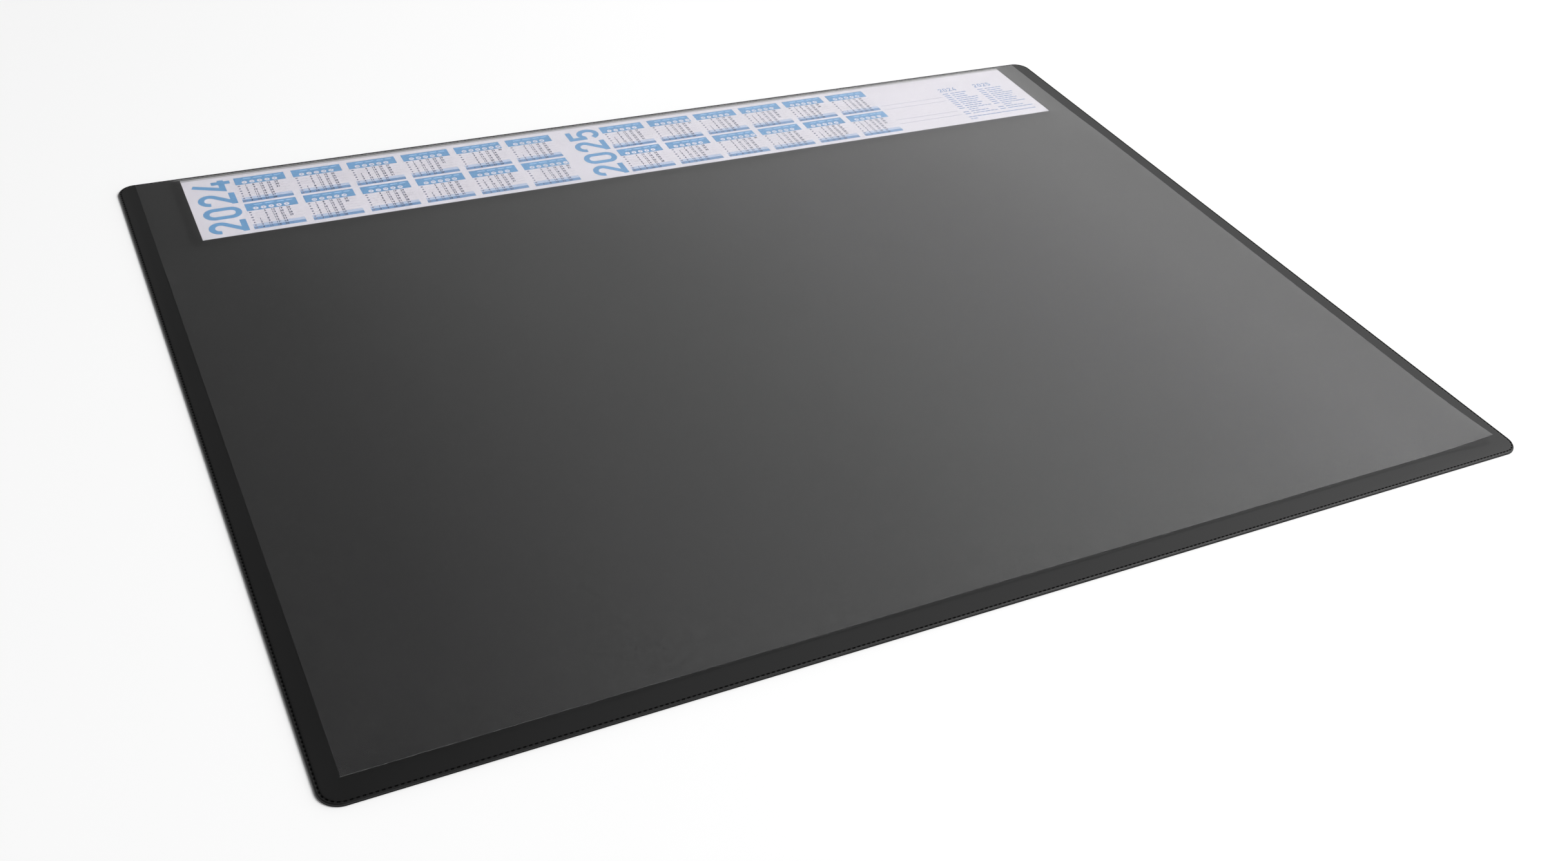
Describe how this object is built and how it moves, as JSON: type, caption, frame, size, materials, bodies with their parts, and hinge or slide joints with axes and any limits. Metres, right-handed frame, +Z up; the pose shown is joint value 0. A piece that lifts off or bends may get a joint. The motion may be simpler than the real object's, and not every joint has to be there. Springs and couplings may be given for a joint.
{
  "type": "desk pad calendar",
  "caption": "Flat black desk mat with rounded corners and a welded edge, a printed paper calendar strip along its back edge and a clear overlay film.",
  "frame": {"origin": "bottom centre of the mat, on the desk", "axes": "+Z up, +X along the long side to the right, +Y to the back edge where the calendar lies"},
  "size_m": [0.65, 0.5, 0.0044],
  "materials": {
    "foam_base": "matte",
    "black_cover": "matte",
    "printed_paper": "matte",
    "clear_film": "satin"
  },
  "bodies": {
    "root": {"base_sheet": "foam_base", "cover_sheet": "black_cover", "calendar_strip": "printed_paper", "overlay_film": "clear_film"}
  },
  "joints": []
}
